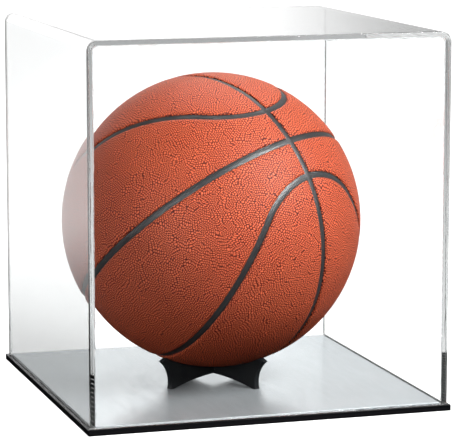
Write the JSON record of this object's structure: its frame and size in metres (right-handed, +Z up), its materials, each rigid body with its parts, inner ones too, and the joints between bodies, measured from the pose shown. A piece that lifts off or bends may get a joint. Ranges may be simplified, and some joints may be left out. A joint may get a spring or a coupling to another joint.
{
  "type": "ball display case",
  "caption": "Clear tabletop cube case that lifts off a black base with a mirror floor, holding a basketball on a crossed-plate stand.",
  "frame": {"origin": "centre of the base plate's underside", "axes": "+Z up along the way the cover lifts, +X to the right seen from the front, -Y towards the front panel"},
  "size_m": [0.295, 0.295, 0.3],
  "materials": {
    "base_black": "polished black acrylic",
    "mirror": "silvered acrylic mirror, slightly soft",
    "clear_sheet": "clear polished acrylic sheet",
    "stand_black": "satin black acrylic",
    "ball_leather": "pebbled orange leather",
    "ball_channel_rubber": "black moulded rubber",
    "bladder_rubber": "thin black butyl",
    "valve_rubber": "black rubber valve plug"
  },
  "bodies": {
    "base": {"base_plate": "base_black", "mirror_panel": "mirror"},
    "cover": {"cover_wrap": "clear_sheet", "front_panel": "clear_sheet", "back_panel": "clear_sheet"},
    "stand": {"stand_lower_plate": "stand_black", "stand_upper_plate": "stand_black"},
    "ball": {"oval_panel_upper_left": "ball_leather", "oval_panel_upper_right": "ball_leather", "oval_panel_lower_left": "ball_leather", "oval_panel_lower_right": "ball_leather", "side_panel_upper_left": "ball_leather", "side_panel_upper_right": "ball_leather", "side_panel_lower_left": "ball_leather", "side_panel_lower_right": "ball_leather", "ball_carcass": "ball_channel_rubber", "ball_bladder": "bladder_rubber", "ball_valve": "valve_rubber"}
  },
  "joints": [
    {"name": "cover_lift", "type": "slide", "parent": "base", "child": "cover", "axis": [0, 0, 1], "range_m": [0, 0.32]},
    {"name": "stand_turn", "type": "hinge", "parent": "base", "child": "stand", "pos_m": [-0.007, -0.008, 0.006], "axis": [0, 0, 1], "continuous": true},
    {"name": "ball_lift", "type": "slide", "parent": "stand", "child": "ball", "axis": [0, 0, 1], "range_m": [0, 0.03]}
  ]
}
